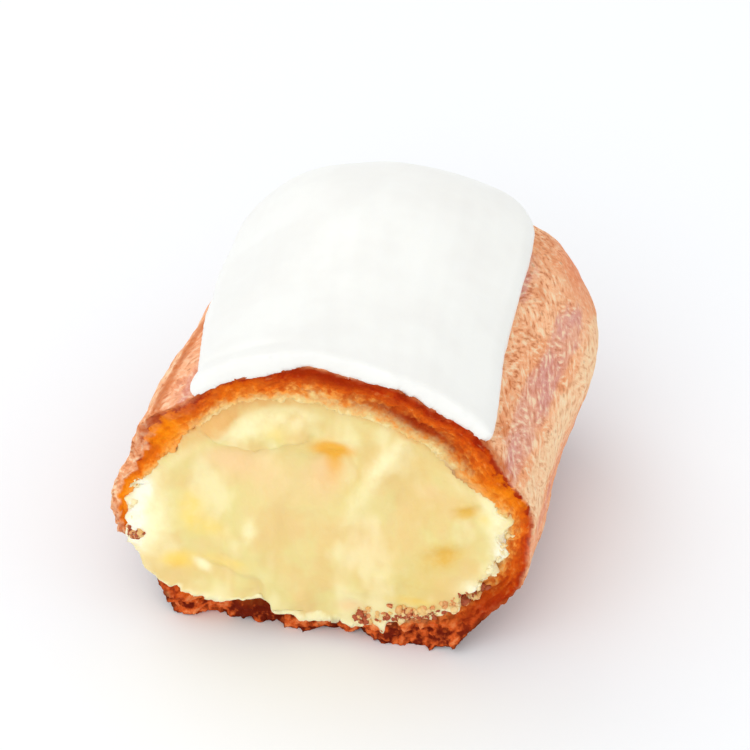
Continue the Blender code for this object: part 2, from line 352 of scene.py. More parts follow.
class SkinMap:
    """The baked skin and the hollow as distances from the piece's middle, read off the shell.

    A place has an angle round the piece, from the underside by +X and over the top, and a run:
    its Y on the straight part, and then on over the rounded end.
    """

    MIDDLE_Z = 16.25 * MM
    TAPER_Y = 4.8 * MM
    CUT_Y = -22.1 * MM
    CUT_SLANT = 0.13
    ROUND = 22.0 * MM
    FAR_OUT = 60.0 * MM
    STEPS_AROUND = 360
    STEP = 0.5 * MM
    FACES_OUT = 0.6
    FLANK_BACKS = (0.0, 4.0, 8.0, 12.0, 15.0, 18.0, 24.0, 29.0, 32.0, 36.0, 41.0)
    FLANK_SHIFTS = (0.0, 0.1, 0.3, -0.1, -0.6, -1.0, -1.3, -1.6, -1.4, -0.8, 0.0)
    FLANK = Swell(-19.0, 22.0)
    LEFT_BULGE = Swell(149.0, 12.0, 0.9)
    LEFT_BACK = Slope(24.0, 34.0)
    FAR_BULGE = Swell(22.0, 30.0, 1.2)
    FAR_BACK = Slope(33.0, 42.0)
    TIP = Slope(1.5 * MM, 7.0 * MM)
    THICKER = Swell(62.0, 34.0, 1.0 * MM)
    THICKER_BACK = Slope(5.0 * MM, 9.0 * MM)
    ICING_EDGE = (34.5, 14.5, 0.6)
    ICING_LENGTH = 46.0 * MM
    EVEN_TURNS = 4
    BROAD_TURNS = 160

    def __init__(self, node: str) -> None:
        """Reads the skin off a solid.

        Args:
            node: The shell's name.
        """
        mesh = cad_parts[node].data
        tree = BVHTree.FromPolygons(
            [v.co for v in mesh.vertices], [tuple(p.vertices) for p in mesh.polygons]
        )
        self.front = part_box(node)[0].y
        end = self.TAPER_Y + self.ROUND * math.pi / 2
        self.rows = int((end - self.front) / self.STEP) + 2
        skin = np.full((self.rows, self.STEPS_AROUND), np.nan)
        hollow = skin.copy()
        for row in range(self.rows):
            run = self.front + row * self.STEP
            for column in range(self.STEPS_AROUND):
                angle = self.seam() + 2 * math.pi * column / self.STEPS_AROUND
                start, out = self.ray(angle, run)
                hit, normal, _, _ = tree.ray_cast(start + out * self.FAR_OUT, -out, self.FAR_OUT)
                if hit is not None and normal.dot(out) > self.FACES_OUT:
                    skin[row, column] = (hit - start).dot(out)
                hit, normal, _, _ = tree.ray_cast(start, out, self.FAR_OUT)
                if hit is not None and normal.dot(out) < -self.FACES_OUT:
                    hollow[row, column] = (hit - start).dot(out)
        self.even = self.blur(self.filled(skin), self.EVEN_TURNS)
        self.broad = self.blur(self.filled(skin), self.BROAD_TURNS)
        self.hollow = self.blur(self.filled(hollow), self.EVEN_TURNS)

    @staticmethod
    def filled(radii: Array) -> Array:
        """Fills what the cut has taken away from the rows behind it, and the rest from before."""
        made = radii.copy()
        rows = len(made)
        for order, step in ((range(rows - 2, -1, -1), 1), (range(1, rows), -1)):
            for row in order:
                missing = np.isnan(made[row])
                made[row, missing] = made[row + step, missing]
        return made

    @staticmethod
    def seam() -> float:
        """The angle where the map starts and ends: straight down."""
        return -math.pi / 2

    def ray(self, angle: float, run: float) -> tuple[Vector, Vector]:
        """The start and direction of the line from the piece's middle through a place."""
        tip = max(0.0, run - self.TAPER_Y) / self.ROUND
        across = Vector((math.cos(angle), 0.0, math.sin(angle)))
        out = across * math.cos(tip) + Vector((0.0, math.sin(tip), 0.0))
        return Vector((0.0, min(run, self.TAPER_Y), self.MIDDLE_Z)), out

    @staticmethod
    def blur(radii: Array, turns: int) -> Array:
        """Evens the map out over its neighbours, this many times over."""
        made = radii
        for _ in range(turns):
            made = (np.roll(made, 1, 1) + 2 * made + np.roll(made, -1, 1)) / 4
            padded = np.pad(made, ((1, 1), (0, 0)), mode="edge")
            made = (padded[:-2] + 2 * made + padded[2:]) / 4
        return made

    def cut_at(self, points: Array) -> Array:
        """The Y of the slanting cut at each point."""
        return self.CUT_Y + self.CUT_SLANT * points[:, 0]

    def eased(self, points: Array, angle: Array) -> Array:
        """How far the crust lies outside the solid's skin: further in on the right flank."""
        turn = np.degrees(angle)
        back = (points[:, 1] - self.cut_at(points)) / MM
        right = np.interp(back, self.FLANK_BACKS, self.FLANK_SHIFTS) * self.FLANK.over(turn)
        left = self.LEFT_BULGE.over(turn) * self.LEFT_BACK.before(back)
        far = self.FAR_BULGE.over(turn) * self.FAR_BACK.over(back)
        return (right + left + far) * MM * self.off_tip(points)

    def off_tip(self, points: Array) -> Array:
        """0 at the tip of the rounded end, where all angles meet, and 1 away from it."""
        across = np.hypot(points[:, 0], points[:, 2] - self.MIDDLE_Z)
        return self.TIP.over(across)

    def thicker(self, points: Array, angle: Array) -> Array:
        """How far the wall's inner side is moved in near the cut, at the upper right."""
        back = points[:, 1] - self.cut_at(points)
        return self.THICKER.over(np.degrees(angle)) * self.THICKER_BACK.before(back)

    def icing_edge(self, back: Array) -> Array:
        """The angle in degrees of the icing's right edge, so far behind the cut."""
        first, drift, power = self.ICING_EDGE
        return first + drift * np.clip(back / self.ICING_LENGTH, 0.0, 1.0) ** power

    def polar(self, points: Array) -> tuple[Array, Array, Array, Array]:
        """Splits points into what the map is laid out by.

        Args:
            points: One row for each point.

        Returns:
            The angles, the runs, the distances from the middle, and the outward directions.
        """
        x, y, z = points[:, 0], points[:, 1], points[:, 2] - self.MIDDLE_Z
        beyond = np.maximum(y - self.TAPER_Y, 0.0)
        angle = np.mod(np.arctan2(z, x) - self.seam(), 2 * math.pi) + self.seam()
        across = np.hypot(x, z)
        tip = np.arctan2(beyond, np.maximum(across, 1e-9))
        run = np.where(beyond > 0, self.TAPER_Y + tip * self.ROUND, y)
        distance = np.hypot(across, beyond)
        out = np.column_stack((x, beyond, z)) / np.maximum(distance, 1e-9)[:, None]
        return angle, run, distance, out

    def at(self, radii: Array, angle: Array, run: Array) -> Array:
        """Reads a map between its steps."""
        column = (angle - self.seam()) / (2 * math.pi) * self.STEPS_AROUND
        row = np.clip((run - self.front) / self.STEP, 0, self.rows - 1.001)
        left, low = np.floor(column).astype(int), np.floor(row).astype(int)
        across, up = column - left, row - low
        left %= self.STEPS_AROUND
        right = (left + 1) % self.STEPS_AROUND
        lower = radii[low, left] * (1 - across) + radii[low, right] * across
        upper = radii[low + 1, left] * (1 - across) + radii[low + 1, right] * across
        return lower * (1 - up) + upper * up


# ---------------------------------------------------------------- finishes


def add_node(
    tree: Tree,
    kind: str,
    settings: Mapping[str | int, object] | None = None,
    links: Mapping[str | int, Socket] | None = None,
) -> Node:
    """Adds a node with its settings and links.

    Args:
        tree: The material's node tree.
        kind: The node's type.
        settings: Values by the name of a property, or by the name or number of an input.
        links: Outputs of other nodes by the name or number of an input.

    Returns:
        The node.
    """
    node = tree.nodes.new(kind)
    for name, value in (settings or {}).items():
        if isinstance(name, str) and hasattr(node, name):
            setattr(node, name, value)
        else:
            node.inputs[name].default_value = value
    for name, socket in (links or {}).items():
        tree.links.new(socket, node.inputs[name])
    return node


def read_mark(tree: Tree, name: str, output: str = "Fac") -> Socket:
    """The output that reads a value stored at each vertex."""
    return add_node(tree, "ShaderNodeAttribute", {"attribute_name": name}).outputs[output]


def grain(
    tree: Tree,
    place: Socket,
    size: float,
    stretch: tuple[float, float, float] = (1.0, 1.0, 1.0),
    turn: float = 0.0,
    detail: float = 3.0,
) -> Socket:
    """Soft noise laid on a surface.

    Args:
        tree: The material's node tree.
        place: The coordinates it lies on, in metres.
        size: How wide its grains are.
        stretch: How many times longer they are along each axis.
        turn: The angle in degrees by which they are turned about the third axis.
        detail: How many finer patterns it has.

    Returns:
        The noise, from 0 to 1.
    """
    laid = add_node(
        tree,
        "ShaderNodeMapping",
        {"vector_type": "TEXTURE", "Rotation": (0, 0, math.radians(turn)), "Scale": stretch},
        {"Vector": place},
    )
    made = add_node(
        tree,
        "ShaderNodeTexNoise",
        {"Scale": per(size), "Detail": detail, "Roughness": 0.55},
        {"Vector": laid.outputs["Vector"]},
    )
    return made.outputs["Fac"]


def ramp(
    tree: Tree, value: Socket, low: float, high: float, to: tuple[float, float] = (0.0, 1.0)
) -> Socket:
    """A smooth rise from to's first number at low to its second at high."""
    made = add_node(
        tree,
        "ShaderNodeMapRange",
        {"interpolation_type": "SMOOTHSTEP", 1: low, 2: high, 3: to[0], 4: to[1]},
        {0: value},
    )
    return made.outputs[0]


def combine(tree: Tree, operation: str, first: Socket, second: Socket | float) -> Socket:
    """Two values put together by an operation of the Math node."""
    settings: dict[str | int, object] = {"operation": operation}
    links: dict[str | int, Socket] = {0: first}
    if isinstance(second, float):
        settings[1] = second
    else:
        links[1] = second
    return add_node(tree, "ShaderNodeMath", settings, links).outputs[0]


def times(tree: Tree, first: Socket, second: Socket | float) -> Socket:
    """One value times another."""
    return combine(tree, "MULTIPLY", first, second)


def plus(tree: Tree, first: Socket, second: Socket | float) -> Socket:
    """One value and another added up."""
    return combine(tree, "ADD", first, second)


def centred(tree: Tree, value: Socket) -> Socket:
    """A value from 0 to 1, moved to lie about nought."""
    return plus(tree, value, -0.5)


def blend_values(tree: Tree, share: Socket, below: Socket, above: Socket) -> Socket:
    """Goes over from one value to another by a share."""
    return add_node(tree, "ShaderNodeMix", None, {0: share, 2: below, 3: above}).outputs[0]


def blend(tree: Tree, share: Socket, below: Socket | str, above: Socket | str) -> Socket:
    """Lays one colour over another by a share. A colour is an output or an sRGB hex value."""
    settings: dict[str | int, object] = {"data_type": "RGBA"}
    links: dict[str | int, Socket] = {0: share}
    for number, colour in ((6, below), (7, above)):
        if isinstance(colour, str):
            settings[number] = linear(colour)
        else:
            links[number] = colour
    return add_node(tree, "ShaderNodeMix", settings, links).outputs[2]


def layers(tree: Tree, value: Socket, stops: Sequence[tuple[float, str]]) -> Socket:
    """A colour for each value, through these stops of a place and an sRGB hex value."""
    node = add_node(tree, "ShaderNodeValToRGB", None, {"Fac": value})
    elements = node.color_ramp.elements
    while len(elements) < len(stops):
        elements.new(1.0)
    for element, (place, colour) in zip(elements, stops):
        element.position = place
        element.color = linear(colour)
    return node.outputs["Color"]


def set_inputs(shader: Node, settings: Mapping[str, object]) -> None:
    """Sets constants on a shader's inputs."""
    for name, value in settings.items():
        shader.inputs[name].default_value = value


def soft_inside(
    shader: Node, weight: float, radius: tuple[float, float, float], scale: float
) -> None:
    """Lets light a little way in: how much, how far for each colour, and the scale of that."""
    names = ("Subsurface Weight", "Subsurface Radius", "Subsurface Scale")
    set_inputs(shader, dict(zip(names, (weight, radius, scale))))


def vary_roughness(
    tree: Tree, shader: Node, place: Socket, size: float, between: tuple[float, float]
) -> None:
    """Links a roughness that drifts between two values in grains of a size."""
    rough = ramp(tree, grain(tree, place, size), 0.3, 0.7, between)
    tree.links.new(rough, shader.inputs["Roughness"])


def relief(tree: Tree, heights: Sequence[tuple[Socket, float]], shader: Node) -> None:
    """Links bumps to a shader, each a height from 0 to 1 and how high that is in metres."""
    normal = None
    for height, high in heights:
        links = {"Height": height}
        if normal is not None:
            links["Normal"] = normal
        made = add_node(tree, "ShaderNodeBump", {"Strength": 1.0, "Distance": high}, links)
        normal = made.outputs["Normal"]
    tree.links.new(normal, shader.inputs["Normal"])


class Finish:
    """A procedural finish, under the name of what it is in reality."""

    NAME = ""

    def make(self) -> Material:
        """Builds the material.

        Returns:
            The material, which reads the marks that its piece stores.
        """
        material = bpy.data.materials.new(self.NAME)
        material.use_nodes = True
        tree = material.node_tree
        place = add_node(tree, "ShaderNodeTexCoord").outputs["Object"]
        self.paint(tree, tree.nodes["Principled BSDF"], place)
        return material

    def paint(self, tree: Tree, shader: Node, place: Socket) -> None:
        """Adds the nodes. Place is the piece's own coordinates, in metres."""
        raise NotImplementedError


@dataclass(frozen=True)
class BakedChoux(Finish):
    """Choux dough baked in an oven. Its skin is matt and streaked, tan on top and browner below.

    Where it is cut or torn, a thin red-brown skin borders an orange crumb of drawn-out fibres,
    which turns pale and moist against the cream.
    """

    NAME = "baked_choux_crust_and_crumb"
    salmon: str = "#F4A878"
    peach: str = "#FCBF92"
    # Painted shade in a mauve tone for the ridges' valleys, painted highlight for their crests.
    valley_shade: str = "#DB9A92"
    crest_highlight: str = "#FDE0B4"
    blush: str = "#EE8C66"
    light_hatch: str = "#FDE6C0"
    dark_hatch: str = "#BE6430"
    pit: str = "#9A5228"
    orange: str = "#D2723A"
    brown: str = "#A8481A"
    dark: str = "#5E2309"
    skin_edge: str = "#9C2202"
    crust: str = "#C23600"
    inner_crust: str = "#E86C16"
    crumb: str = "#F9A146"
    gold: str = "#F2C078"
    pale_crumb: str = "#F0CF88"
    moist: str = "#F4DDA0"
    golden: str = "#FF9206"
    toasted: str = "#9C2600"
    fibre_light: str = "#F8BE78"
    fibre_dark: str = "#B84A18"
    base_dark: str = "#74200C"
    base_mid: str = "#DE6228"
    base_light: str = "#FBA468"

    streak: tuple[float, float, float] = (1.0, 2.5, 1.0)
    drawn_out: tuple[float, float, float] = (1.0, 2.0, 1.0)
    hatch_size: float = 0.52 * MM
    hatch_turn: float = -32.0
    cross_size: float = 0.48 * MM
    cross_turn: float = 38.0
    fibre_size: float = 0.34 * MM
    pit_size: float = 1.3 * MM

    def paint(self, tree: Tree, shader: Node, place: Socket) -> None:
        """Puts the skin and the opened dough together, each where its mark says."""
        laid = read_mark(tree, "laid", "Vector")
        skin = self.skin_colour(tree, place, laid)
        opened = self.crumb_colour(tree, place, laid)
        cut = read_mark(tree, "opened")
        tree.links.new(blend(tree, cut, skin, opened), shader.inputs["Base Color"])
        vary_roughness(tree, shader, place, 1.5 * MM, (0.60, 0.80))
        set_inputs(shader, {"IOR": 1.45, "Specular IOR Level": 0.06})
        soft_inside(shader, 0.06, (1.0, 0.5, 0.25), 0.6 * MM)
        hatch = grain(tree, laid, self.hatch_size, self.streak, self.hatch_turn)
        fine = grain(tree, place, 0.45 * MM, detail=4.0)
        hatch = blend_values(tree, read_mark(tree, "rounded"), hatch, fine)
        relief(tree, ((hatch, 0.13 * MM), (fine, 0.15 * MM)), shader)

    def skin_colour(self, tree: Tree, place: Socket, laid: Socket) -> Socket:
        """The outside: painted ridge shade and highlight, then hatching, blushes, browning and
        pits.
        """
        colour = self.hatched(tree, place, laid, self.banded(tree, place))
        colour = blend(tree, times(tree, read_mark(tree, "blush"), 0.85), colour, self.blush)
        colour = self.baked(tree, place, colour)
        cells = {"Scale": per(self.pit_size)}
        spots = add_node(tree, "ShaderNodeTexVoronoi", cells, {"Vector": place})
        near = ramp(tree, grain(tree, place, 4.0 * MM), 0.46, 0.56)
        pits = times(tree, ramp(tree, spots.outputs["Distance"], 0.24, 0.12), near)
        return blend(tree, times(tree, pits, 0.35), colour, self.pit)

    def banded(self, tree: Tree, place: Socket) -> Socket:
        """Salmon dough: mauve painted shade in the ridges' valleys, painted highlight on crests.
        """
        broad = ramp(tree, grain(tree, place, 6.0 * MM), 0.38, 0.62)
        colour = blend(tree, broad, self.salmon, self.peach)
        wander = centred(tree, grain(tree, place, 1.4 * MM, self.streak))
        # The ridge mark places painted shade in the valleys and painted highlight on the crests.
        band = plus(tree, read_mark(tree, "ridge"), times(tree, wander, 1.6))
        uneven = grain(tree, place, 3.0 * MM, self.drawn_out)
        patches = ramp(tree, uneven, 0.34, 0.62, (0.45, 0.85))
        valley_shade = times(tree, ramp(tree, band, -0.12, -0.95), patches)
        colour = blend(tree, valley_shade, colour, self.valley_shade)
        crest_highlight = times(tree, ramp(tree, band, 0.35, 0.90, (0.0, 0.75)), patches)
        return blend(tree, crest_highlight, colour, self.crest_highlight)

    def hatched(self, tree: Tree, place: Socket, laid: Socket, colour: Socket) -> Socket:
        """Fine light and dark strokes, slanted one way or the other, and specks at the end."""
        hatch = grain(tree, laid, self.hatch_size, self.streak, self.hatch_turn)
        cross = grain(tree, laid, self.cross_size, self.streak, self.cross_turn)
        where = ramp(tree, grain(tree, place, 3.5 * MM), 0.42, 0.60)
        plain = grain(tree, place, 0.5 * MM, (1.0, 1.0, 1.6), detail=4.0)
        mixed = blend_values(tree, where, hatch, cross)
        mixed = blend_values(tree, read_mark(tree, "rounded"), mixed, plain)
        light = ramp(tree, mixed, 0.49, 0.66, (0.0, 0.72))
        colour = blend(tree, light, colour, self.light_hatch)
        baked = ramp(tree, read_mark(tree, "browned"), 0.0, 0.18, (0.6, 1.0))
        dark = times(tree, ramp(tree, mixed, 0.50, 0.34, (0.0, 0.78)), baked)
        return blend(tree, dark, colour, self.dark_hatch)

    def baked(self, tree: Tree, place: Socket, colour: Socket) -> Socket:
        """Orange, brown and nearly black, one after the other, where the skin is browned."""
        drift = centred(tree, grain(tree, place, 2.2 * MM, self.drawn_out))
        browned = plus(tree, read_mark(tree, "browned"), times(tree, drift, 0.8))
        for low, high, most, tone in (
            (0.12, 0.42, 0.75, self.orange),
            (0.42, 0.75, 0.85, self.brown),
            (0.80, 1.10, 0.90, self.dark),
        ):
            colour = blend(tree, ramp(tree, browned, low, high, (0.0, most)), colour, tone)
        return colour

    def crumb_colour(self, tree: Tree, place: Socket, laid: Socket) -> Socket:
        """The cut and torn dough, from its skin inwards, darker where toasted and at the base."""
        fibres = grain(tree, laid, self.fibre_size, (2.2, 1.0, 1.0), detail=4.0)
        patches = grain(tree, place, 1.6 * MM, detail=4.0)
        inwards, shaded_relief = read_mark(tree, "inwards"), read_mark(tree, "shaded_relief")
        wander = times(tree, centred(tree, fibres), 0.35)
        wander = plus(tree, wander, times(tree, centred(tree, patches), 0.9))
        depth = plus(tree, inwards, wander)
        stops = (
            (0.0, self.skin_edge),
            (0.05, self.skin_edge),
            (0.15, self.crust),
            (0.46, self.inner_crust),
            (0.64, self.crumb),
            (0.78, self.gold),
            (0.90, self.pale_crumb),
            (1.0, self.moist),
        )
        colour = self.fibrous(tree, fibres, inwards, shaded_relief, layers(tree, depth, stops))
        uneven = ramp(tree, patches, 0.35, 0.60, (0.6, 1.0))
        rind = ramp(tree, depth, 0.05, 0.16)
        lit = times(tree, times(tree, times(tree, read_mark(tree, "golden"), uneven), rind), 0.9)
        colour = blend(tree, lit, colour, self.golden)
        seam = times(tree, read_mark(tree, "seam"), ramp(tree, patches, 0.30, 0.55, (0.75, 1.0)))
        colour = blend(tree, seam, colour, self.toasted)
        # Over the torn base: painted highlight on crests, painted shade in hollows, broken by
        # speckle.
        speckle = times(tree, grain(tree, place, 0.9 * MM, detail=4.0), 0.8)
        height = plus(tree, speckle, times(tree, shaded_relief, 0.30))
        stops = ((0.18, self.base_dark), (0.36, self.base_mid), (0.62, self.base_light))
        return blend(tree, read_mark(tree, "torn"), colour, layers(tree, height, stops))

    def fibrous(
        self, tree: Tree, fibres: Socket, inwards: Socket, shaded_relief: Socket, colour: Socket
    ) -> Socket:
        """Light and dark drawn-out fibres, which fade out towards the cream."""
        # The shaded relief adds painted highlight to raised fibres and painted shade to the pores.
        streaks = plus(tree, times(tree, fibres, 0.55), times(tree, shaded_relief, 0.25))
        deep = ramp(tree, inwards, 0.95, 0.60)
        light = times(tree, ramp(tree, streaks, 0.32, 0.50, (0.0, 0.20)), deep)
        colour = blend(tree, light, colour, self.fibre_light)
        dark = times(tree, ramp(tree, streaks, 0.30, 0.06, (0.0, 0.5)), deep)
        return blend(tree, dark, colour, self.fibre_dark)


@dataclass(frozen=True)
class VanillaCream(Finish):
    """Cooked vanilla cream: soft, moist and a little translucent, pale yellow with egg stains."""

    NAME = "vanilla_cream_moist"
    cream: str = "#E8CB84"
    cool: str = "#E6D68E"
    pale: str = "#FCF2C0"
    peach: str = "#F3D098"
    yellow: str = "#F7D66A"
    egg: str = "#F2B23A"
    blotch: str = "#E4B750"
    curd: str = "#FEF9E2"
    soaked: str = "#E8B66C"

    def paint(self, tree: Tree, shader: Node, place: Socket) -> None:
        """Lays soft swirls, then each stain and the painted highlights where their marks say."""
        broad = ramp(tree, grain(tree, place, 6.0 * MM), 0.38, 0.62)
        colour = blend(tree, broad, self.cream, self.cool)
        swirls = grain(tree, place, 4.2 * MM, (1.0, 1.0, 1.8), detail=2.0)
        colour = blend(tree, ramp(tree, swirls, 0.46, 0.72, (0.0, 0.55)), colour, self.pale)
        colour = blend(tree, ramp(tree, swirls, 0.50, 0.30, (0.0, 0.22)), colour, self.peach)
        edge = centred(tree, grain(tree, place, 1.5 * MM, detail=4.0))
        for name, tone, soft in (
            ("peach", self.peach, 0.35),
            ("yellow", self.yellow, 0.6),
            ("blotch", self.blotch, 0.7),
            ("egg", self.egg, 0.35),
            # The pale mark holds pale cream and curd and painted highlights.
            ("pale", self.pale, 0.5),
            ("soaked", self.soaked, 0.9),
            ("curds", self.curd, 0.9),
        ):
            value = read_mark(tree, name)
            spread = times(tree, times(tree, edge, 2.0 * soft), value)
            share = plus(tree, value, spread)
            colour = blend(tree, ramp(tree, share, 0.05, 0.95), colour, tone)
        tree.links.new(colour, shader.inputs["Base Color"])
        vary_roughness(tree, shader, place, 2.0 * MM, (0.30, 0.48))
        set_inputs(shader, {"IOR": 1.45, "Specular IOR Level": 0.4})
        soft_inside(shader, 0.25, (1.0, 0.75, 0.35), 1.2 * MM)
        relief(tree, ((grain(tree, place, 0.9 * MM), 0.07 * MM),), shader)


@dataclass(frozen=True)
class WhiteIcing(Finish):
    """Poured sugar icing that has set: an opaque, smooth near-white with a soft satin gloss."""

    NAME = "white_icing_set"
    white: str = "#F4F4EF"
    shade: str = "#F0EFEA"

    def paint(self, tree: Tree, shader: Node, place: Socket) -> None:
        """Clouds the white a little and softens its gloss."""
        cloud = ramp(tree, grain(tree, place, 9.0 * MM), 0.35, 0.65)
        tree.links.new(blend(tree, cloud, self.white, self.shade), shader.inputs["Base Color"])
        vary_roughness(tree, shader, place, 3.0 * MM, (0.32, 0.44))
        set_inputs(shader, {"IOR": 1.5})
        soft_inside(shader, 0.12, (1.0, 0.95, 0.85), 0.6 * MM)
        relief(tree, ((grain(tree, place, 1.2 * MM), 0.02 * MM),), shader)


@dataclass(frozen=True)
class LooseCrumb(Finish):
    """Crumbs of the inner dough, soaked pale by the cream, and toasted ones from the crust."""

    NAME = "choux_crumb_moist"
    pale: str = "#FDF0C0"
    gold: str = "#F0C27A"
    brown: str = "#DC8650"
    red_brown: str = "#AE4E24"

    def paint(self, tree: Tree, shader: Node, place: Socket) -> None:
        """Colours each crumb by how brown its mark says it is."""
        speckle = grain(tree, place, 0.5 * MM)
        tone = plus(tree, read_mark(tree, "tone"), times(tree, speckle, 0.3))
        stops = ((0.2, self.pale), (0.7, self.gold), (1.0, self.brown), (1.0, self.red_brown))
        tree.links.new(layers(tree, tone, stops), shader.inputs["Base Color"])
        set_inputs(shader, {"Roughness": 0.6})
        soft_inside(shader, 0.2, (1.0, 0.8, 0.5), 0.6 * MM)
        relief(tree, ((speckle, 0.05 * MM),), shader)


@dataclass(frozen=True)
class PaleTable(Finish):
    """A matt white table top, plain, so that only the soft shadow shows on it."""

    NAME = "white_table_matt"
    white: str = "#F7F9FB"

    def paint(self, tree: Tree, shader: Node, place: Socket) -> None:
        """Makes it one plain colour without gloss."""
        colour = linear(self.white)
        set_inputs(shader, {"Base Color": colour, "Roughness": 0.9, "Specular IOR Level": 0.0})


# ---------------------------------------------------------------- pieces


@dataclass(frozen=True)
class Patch:
    """A soft-edged patch on the cut face, in millimetres: its middle, half sizes and slope."""

    x: float
    z: float
    wide: float
    high: float
    amount: float
    slope: float = 0.0

    def over(self, points: Array) -> Array:
        """How strongly it shows at each point."""
        x, z = points[:, 0] / MM - self.x, points[:, 2] / MM - self.z
        return self.amount * hump(np.hypot(x / self.wide, (z - self.slope * x) / self.high), 1.0)


@dataclass(frozen=True)
class Fold:
    """A soft ridge or, if its height is negative, a groove on the cream's face, in millimetres."""

    start: tuple[float, float]
    end: tuple[float, float]
    half_width: float
    high: float

    def over(self, points: Array) -> Array:
        """How far it raises the face at each point, in metres."""
        places = np.column_stack((points[:, 0], points[:, 2])) / MM
        start, end = np.array(self.start), np.array(self.end)
        way = end - start
        share = np.clip((places - start) @ way / (way @ way), 0.0, 1.0)
        away = np.linalg.norm(places - start - share[:, None] * way, axis=1)
        ends = 1 - 0.6 * np.abs(2 * share - 1) ** 3
        return self.high * MM * ends * hump(away, self.half_width)


def together(patches: Sequence[Patch], points: Array) -> Array:
    """How strongly some patches show together at each point, from 0 to 1."""
    return np.clip(sum(patch.over(points) for patch in patches), 0.0, 1.0)


@dataclass
class SolidPiece:
    """A piece of the scene that starts from a solid and stands for it.

    Its mesh is remeshed to a voxel, fine as far as fine_reach behind the cut, and thinned to
    hidden_keep of its faces beyond hidden_from.
    """

    NODE = ""
    NAME = ""
    SLOT = Slot.CHOUX
    voxel: float = 0.40 * MM
    fine_reach: float = 3.0 * MM
    hidden_from: float = 7.0 * MM
    hidden_keep: float = 0.10

    def build(self, skin: SkinMap, material: Material) -> Piece:
        """Makes the piece from its solid.

        Args:
            skin: Where the baked skin is.
            material: Its finish.

        Returns:
            The finished piece.
        """
        piece = copy_node(self.NODE, self.NAME)
        self.shape(piece, skin)
        finish_piece(piece, material, self.NODE)
        return piece

    def set_mesh(self, piece: Piece, skin: SkinMap) -> None:
        """Makes the mesh even, coarse where nobody looks and fine beside the cut."""
        remesh(piece, self.voxel)
        thin_out(piece, self.hidden(face_middles(piece), skin), self.hidden_keep)
        middles = face_middles(piece)
        refine(piece, middles[:, 1] < skin.cut_at(middles) + self.fine_reach)

    def hidden(self, middles: Array, skin: SkinMap) -> Array:
        """Which faces nobody looks at."""
        return middles[:, 1] > skin.cut_at(middles) + self.hidden_from

    def shape(self, piece: Piece, skin: SkinMap) -> None:
        """Gives the copied solid its fine form and stores the marks its finish reads."""
        raise NotImplementedError


class WallPlaces:
    """Where each vertex of the shell lies: round it, along it, in its wall, behind the cut."""

    FACES_OUT = Slope(0.25, 0.6)
    SKIN_DEPTH = Slope(0.4 * MM, 0.9 * MM)
    EASED_DEPTH = Slope(0.5 * MM, 3.0 * MM)
    ABOVE_SHEET = Slope(0.1 * MM, 0.6 * MM)
    LAID_RADIUS = 20.0 * MM

    def __init__(self, piece: Piece, skin: SkinMap) -> None:
        """Reads the vertices and snaps those of the skin to its even, eased form.

        Args:
            piece: The remeshed shell.
            skin: Where the baked skin is.
        """
        points, self.normals = points_of(piece), normals_of(piece)
        self.angle, self.run, distance, self.out = skin.polar(points)
        self.turn = np.degrees(self.angle)
        self.outer = skin.at(skin.even, self.angle, self.run)
        depth = self.outer - distance
        wall = self.outer - skin.at(skin.hollow, self.angle, self.run)
        self.share = depth / np.maximum(wall, MM)
        facing = np.sum(self.normals * self.out, axis=1)
        self.on_skin = self.FACES_OUT.over(facing) * self.SKIN_DEPTH.before(depth)
        eased = skin.eased(points, self.angle) * self.EASED_DEPTH.before(depth)
        snapped = depth * self.on_skin * skin.off_tip(points)
        moved = (snapped + eased) * self.ABOVE_SHEET.over(points[:, 2])
        self.points = points + self.out * moved[:, None]
        self.depth = depth * (1 - self.on_skin)
        self.back = self.points[:, 1] - skin.cut_at(self.points)
        self.laid = np.column_stack((self.angle * self.LAID_RADIUS, self.points[:, 1], self.depth))


@dataclass(frozen=True)
class Seam:
    """A darker baked band in the cut wall: where round it, in degrees, and at which share."""

    around: Swell
    within: Swell


